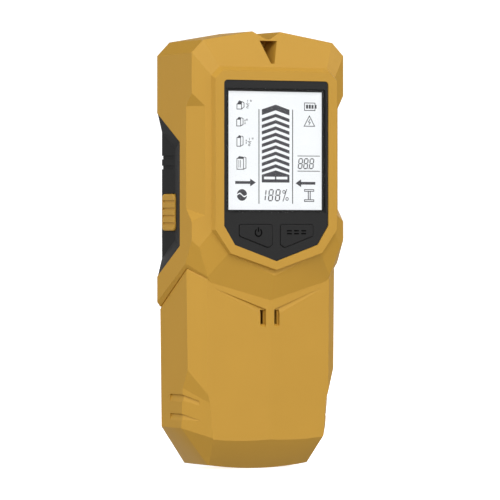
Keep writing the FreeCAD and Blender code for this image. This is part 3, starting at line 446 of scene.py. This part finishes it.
# ---------------------------------------------------------------- flat marks on the display and keys
class Sheet:
    """Flat marks on a plane that faces the user: u to the right and v upwards, in millimetres."""

    def __init__(self, centre_x, base_z, face_y, height):
        self.centre_x = centre_x
        self.base_z = base_z
        self.face_y = face_y
        self.height = height
        self.mesh = bmesh.new()

    def ring(self, points, y):
        """Corners of an outline at this depth."""
        return [self.mesh.verts.new((self.centre_x + u * MM, y, self.base_z + v * MM))
                for u, v in points]

    def polygon(self, points):
        """A thin raised plate with this outline."""
        area = sum(a[0] * b[1] - b[0] * a[1] for a, b in zip(points, points[1:] + points[:1]))
        if area < 0:
            points = points[::-1]
        back, front = (self.ring(points, y) for y in (self.face_y, self.face_y - self.height))
        self.mesh.faces.new(front)
        self.mesh.faces.new(back[::-1])
        count = len(points)
        for i in range(count):
            j = (i + 1) % count
            self.mesh.faces.new((front[i], back[i], back[j], front[j]))

    def box(self, u_low, v_low, u_high, v_high):
        """A plain rectangle."""
        self.polygon([(u_low, v_low), (u_high, v_low), (u_high, v_high), (u_low, v_high)])

    def line(self, start, end, width):
        """A straight stroke with square ends."""
        along = Vector((end[0] - start[0], end[1] - start[1])).normalized() * (width / 2)
        across = Vector((-along.y, along.x))
        a, b = Vector(start) - along, Vector(end) + along
        self.polygon([tuple(a + across), tuple(a - across), tuple(b - across), tuple(b + across)])

    def path(self, points, width, closed=False):
        """A stroke of even width with mitred corners."""
        count = len(points)
        sides = ([], [])
        for i in range(count):
            here = Vector(points[i])
            before = Vector(points[i - 1]) if closed or i > 0 else None
            after = Vector(points[(i + 1) % count]) if closed or i < count - 1 else None
            into = (here - before).normalized() if before is not None else (after - here).normalized()
            out = (after - here).normalized() if after is not None else into
            across = (Vector((-into.y, into.x)) + Vector((-out.y, out.x))).normalized()
            reach = width / 2 / max(0.4, across.dot(Vector((-out.y, out.x))))
            sides[0].append(tuple(here + across * reach))
            sides[1].append(tuple(here - across * reach))
        left, right = sides
        if not closed:
            self.polygon(left + right[::-1])
            return
        for i in range(count):
            j = (i + 1) % count
            self.polygon([left[i], right[i], right[j], left[j]])

    def finish(self, name, material, body):
        """Makes the marks one piece that rides on a body."""
        bmesh.ops.recalc_face_normals(self.mesh, faces=self.mesh.faces)
        mesh = bpy.data.meshes.new(name)
        self.mesh.to_mesh(mesh)
        self.mesh.free()
        mesh.materials.append(material)
        piece = bpy.data.objects.new(name, mesh)
        bpy.context.scene.collection.objects.link(piece)
        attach(piece, body)


def arc_points(centre, radius, start, end, steps):
    """Points on an arc between two angles in degrees."""
    points = []
    for i in range(steps + 1):
        angle = math.radians(start + (end - start) * i / steps)
        points.append((centre[0] + radius * math.cos(angle), centre[1] + radius * math.sin(angle)))
    return points


THIN, OUTLINE, MEDIUM = 0.26, 0.28, 0.34   # stroke widths on the display, in millimetres
DIGIT_BARS = {
    "0": "abcdef", "1": "bc", "2": "abged", "3": "abgcd", "4": "fgbc",
    "5": "afgcd", "6": "afgedc", "7": "abc", "8": "abcdefg", "9": "abcdfg",
}


def digit(sheet, figure, u, v, width, height, thick=0.36, slant=0.12):
    """A leaning seven-bar figure whose lower left corner is (u, v)."""
    gap, half, middle = thick * 0.22, thick / 2, height / 2
    left, right, low, high = half, width - half, half, height - half
    ends = {
        "a": ((left, high), (right, high)), "b": ((right, middle), (right, high)),
        "c": ((right, low), (right, middle)), "d": ((left, low), (right, low)),
        "e": ((left, low), (left, middle)), "f": ((left, middle), (left, high)),
        "g": ((left, middle), (right, middle)),
    }
    for bar in DIGIT_BARS[figure]:
        start, end = Vector(ends[bar][0]), Vector(ends[bar][1])
        along = (end - start).normalized()
        across = Vector((-along.y, along.x)) * half
        start, end = start + along * gap, end - along * gap
        tip = along * half
        corners = [start, start + tip - across, end - tip - across,
                   end, end - tip + across, start + tip + across]
        sheet.polygon([(u + c.x + c.y * slant, v + c.y) for c in corners])


def percent(sheet, u, v, size, slant=0.12):
    """Two small rings with a leaning bar between them."""
    sheet.line((u + 0.35, v + 0.1), (u + size * 0.42, v + size - 0.1), 0.3)
    for ring_u, ring_v in ((u + 0.2 + slant * size, v + size * 0.78), (u + size * 0.46, v + size * 0.2)):
        sheet.path(arc_points((ring_u, ring_v), 0.52, 0, 345, 14), 0.26, closed=True)


def inch_sign(sheet, u, v):
    """Two short upright strokes."""
    for stroke_u in (u, u + 0.4):
        sheet.line((stroke_u, v), (stroke_u, v + 0.45), 0.2)


def fraction(sheet, u, v, whole=""):
    """Small figures: an optional whole number, a half written with a bar, and an inch sign."""
    if whole:
        digit(sheet, whole, u, v + 0.5, 0.6, 2.1, 0.32, 0.0)
        u += 1.15
    digit(sheet, "1", u + 0.1, v + 1.85, 0.7, 1.4, 0.3, 0.0)
    sheet.line((u - 0.05, v + 1.6), (u + 1.3, v + 1.6), 0.2)
    digit(sheet, "2", u + 0.1, v, 1.05, 1.35, 0.26, 0.0)
    inch_sign(sheet, u + 1.75, v + 2.5)


def plate_icon(sheet, u, v, width, height, lean):
    """A board seen from a corner: front face, top edge filled, side edge."""
    deep = 1.05
    front = [(u, v), (u + width, v), (u + width, v + height), (u, v + height)]
    sheet.path(front, THIN, closed=True)
    corner = (u + width + deep * 0.35, v + height + lean)
    top = [(u, v + height), (u + width, v + height), corner, (u + deep * 0.9, v + height + lean * 1.5)]
    sheet.polygon(top)
    side = [(u + width, v), (u + width + deep, v + lean * 0.9),
            (u + width + deep, v + height + lean * 0.45), corner]
    sheet.path(side, THIN)


def arrow(sheet, tail, head, v):
    """A horizontal arrow from u = tail to u = head."""
    half, barb, point = 0.5, 1.4, 2.3
    neck = head - math.copysign(point, head - tail)
    sheet.polygon([(tail, v - half), (neck, v - half), (neck, v - barb), (head, v), (neck, v + barb),
                   (neck, v + half), (tail, v + half)])


def wave_disc(sheet, centre, radius):
    """Alternating-current mark: a disc split by a wave."""
    u, v = centre
    steps = 12
    for sign in (1, -1):
        wave = []
        for i in range(steps + 1):
            t = -1 + 2 * i / steps
            swing = 0.62 * math.sin(-math.pi * t) * (1 - 0.3 * t * t)
            wave.append((u + t * radius * 0.97, v + sign * 0.24 + swing))
        rim = arc_points(centre, radius, sign * 8, sign * 172, 20)
        sheet.polygon(wave + rim)


def strength_scale(sheet):
    """Ten chevrons over a block with a pointed top, between two lines, and a percentage."""
    half, side_drop, pitch, bars = 5.75, 1.8, 2.287, 9
    chevrons = [(38.1, 2.05)] + [(34.8 - pitch * i, 1.22) for i in range(bars)]
    for apex, thick in chevrons:
        tips = apex - side_drop
        sheet.polygon([(-half, tips), (0, apex), (half, tips),
                       (half, tips - thick), (0, apex - thick), (-half, tips - thick)])
    low, step, groove, shoulder, peak = 9.9, 11.05, 12.0, 12.7, 14.3
    groove_half = 4.9
    sheet.polygon([(-half, low), (half, low), (half, step), (-half, step)])
    sheet.polygon([(-half, step), (-groove_half, step), (-groove_half, groove), (groove_half, groove),
                   (groove_half, step), (half, step), (half, shoulder), (0, peak), (-half, shoulder)])
    sheet.line((0, step), (0, groove), 0.5)
    for u in (-6.96, 7.09):
        sheet.line((u, 2.4), (u, 36.2), MEDIUM)
    for figure, u in (("1", -6.3), ("8", -3.3), ("8", -0.4)):
        digit(sheet, figure, u, 3.1, 2.05, 4.4, 0.44)
    percent(sheet, 2.75, 3.1, 4.4)


def material_column(sheet):
    """Left column: four board symbols with their depths, an arrow and the live-wire mark."""
    left = -16.1
    plate_icon(sheet, left, 36.3, 1.9, 1.8, 0.9)
    fraction(sheet, -12.3, 36.6)
    plate_icon(sheet, left - 0.1, 30.2, 1.6, 2.4, 0.6)
    digit(sheet, "1", -13.2, 30.6, 0.6, 2.2, 0.32, 0.0)
    inch_sign(sheet, -12.2, 32.3)
    plate_icon(sheet, left, 22.9, 1.5, 3.1, 0.6)
    fraction(sheet, -12.7, 23.0, "1")
    plate_icon(sheet, left, 14.6, 2.7, 3.9, 0.55)
    for u in (-15.3, -14.6):
        sheet.line((u, 15.3), (u, 17.9), 0.2)
    arrow(sheet, -16.8, -8.3, 9.85)
    wave_disc(sheet, (-14.0, 5.35), 2.1)


def warning_column(sheet):
    """Right column: battery, warning triangle, distance figure, an arrow and a beam mark."""
    sheet.path([(12.1, 36.2), (16.5, 36.2), (16.5, 38.9), (12.1, 38.9)], OUTLINE, closed=True)
    sheet.box(16.62, 36.9, 17.15, 38.25)
    for u in (12.75, 13.9, 15.05):
        sheet.box(u, 36.85, u + 0.85, 38.25)
    sheet.path([(11.95, 30.45), (16.35, 30.45), (14.15, 34.2)], OUTLINE, closed=True)
    sheet.path([(14.45, 33.0), (13.75, 32.0), (14.5, 31.85), (13.95, 30.95)], THIN)
    for v in (19.6, 14.1):
        sheet.line((9.3, v), (18.4, v), THIN)
    for figure, u in (("8", 9.2), ("8", 11.5), ("8", 13.9)):
        digit(sheet, figure, u, 14.85, 1.9, 3.95, 0.4)
    sheet.box(13.45, 14.85, 13.75, 15.2)
    arrow(sheet, 16.65, 8.35, 9.7)
    for v in (3.4, 7.1):
        flange = [(12.1, v - 0.3), (16.0, v - 0.3), (16.0, v + 0.3), (12.1, v + 0.3)]
        sheet.path(flange, OUTLINE, closed=True)
    for u in (13.7, 14.5):
        sheet.line((u, 3.75), (u, 6.8), MEDIUM)


def draw_display(material):
    """Every segment of the display, lit, on the front of its glass."""
    glass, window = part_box("lcd_glass"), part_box("window_lens")
    margin, shift, thick = 1.0 * MM, 0.3 * MM, 0.04 * MM
    sheet = Sheet(shift, window[0][2] + margin, glass[0][1], thick)
    strength_scale(sheet)
    material_column(sheet)
    warning_column(sheet)
    sheet.finish("display_segments", material, "case")


def draw_key_marks(material):
    """Raised power mark on the left key and a plain menu mark on the right key."""
    proud, sunk, stroke = 0.06 * MM, 0.01 * MM, 0.42
    middle_z = 86.0 * MM
    root_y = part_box("power_key")[0][1] + sunk
    power = Sheet(-7.6 * MM, middle_z, root_y, proud)
    power.path(arc_points((0, -0.1), 1.35, 125, 415, 26), stroke)
    power.line((0, 0.35), (0, 1.6), stroke)
    power.finish("power_mark", material, "power_button")
    menu = Sheet(8.3 * MM, middle_z, root_y, proud)
    for u in (-3.0, 0.0, 3.0):
        for v in (-0.75, 0.3):
            menu.box(u - 1.0, v, u + 1.0, v + 0.45)
    menu.finish("menu_mark", material, "mode_button")


bpy.context.scene.view_settings.view_transform = "Standard"
make_camera()
make_light()
make_floor()
materials = make_materials()
dress(materials)
for name in ("front_shell", "left_grip", "right_grip"):
    soften(name, EDGE_ROUNDING)
draw_display(materials["segments"])
draw_key_marks(materials["key_mark"])
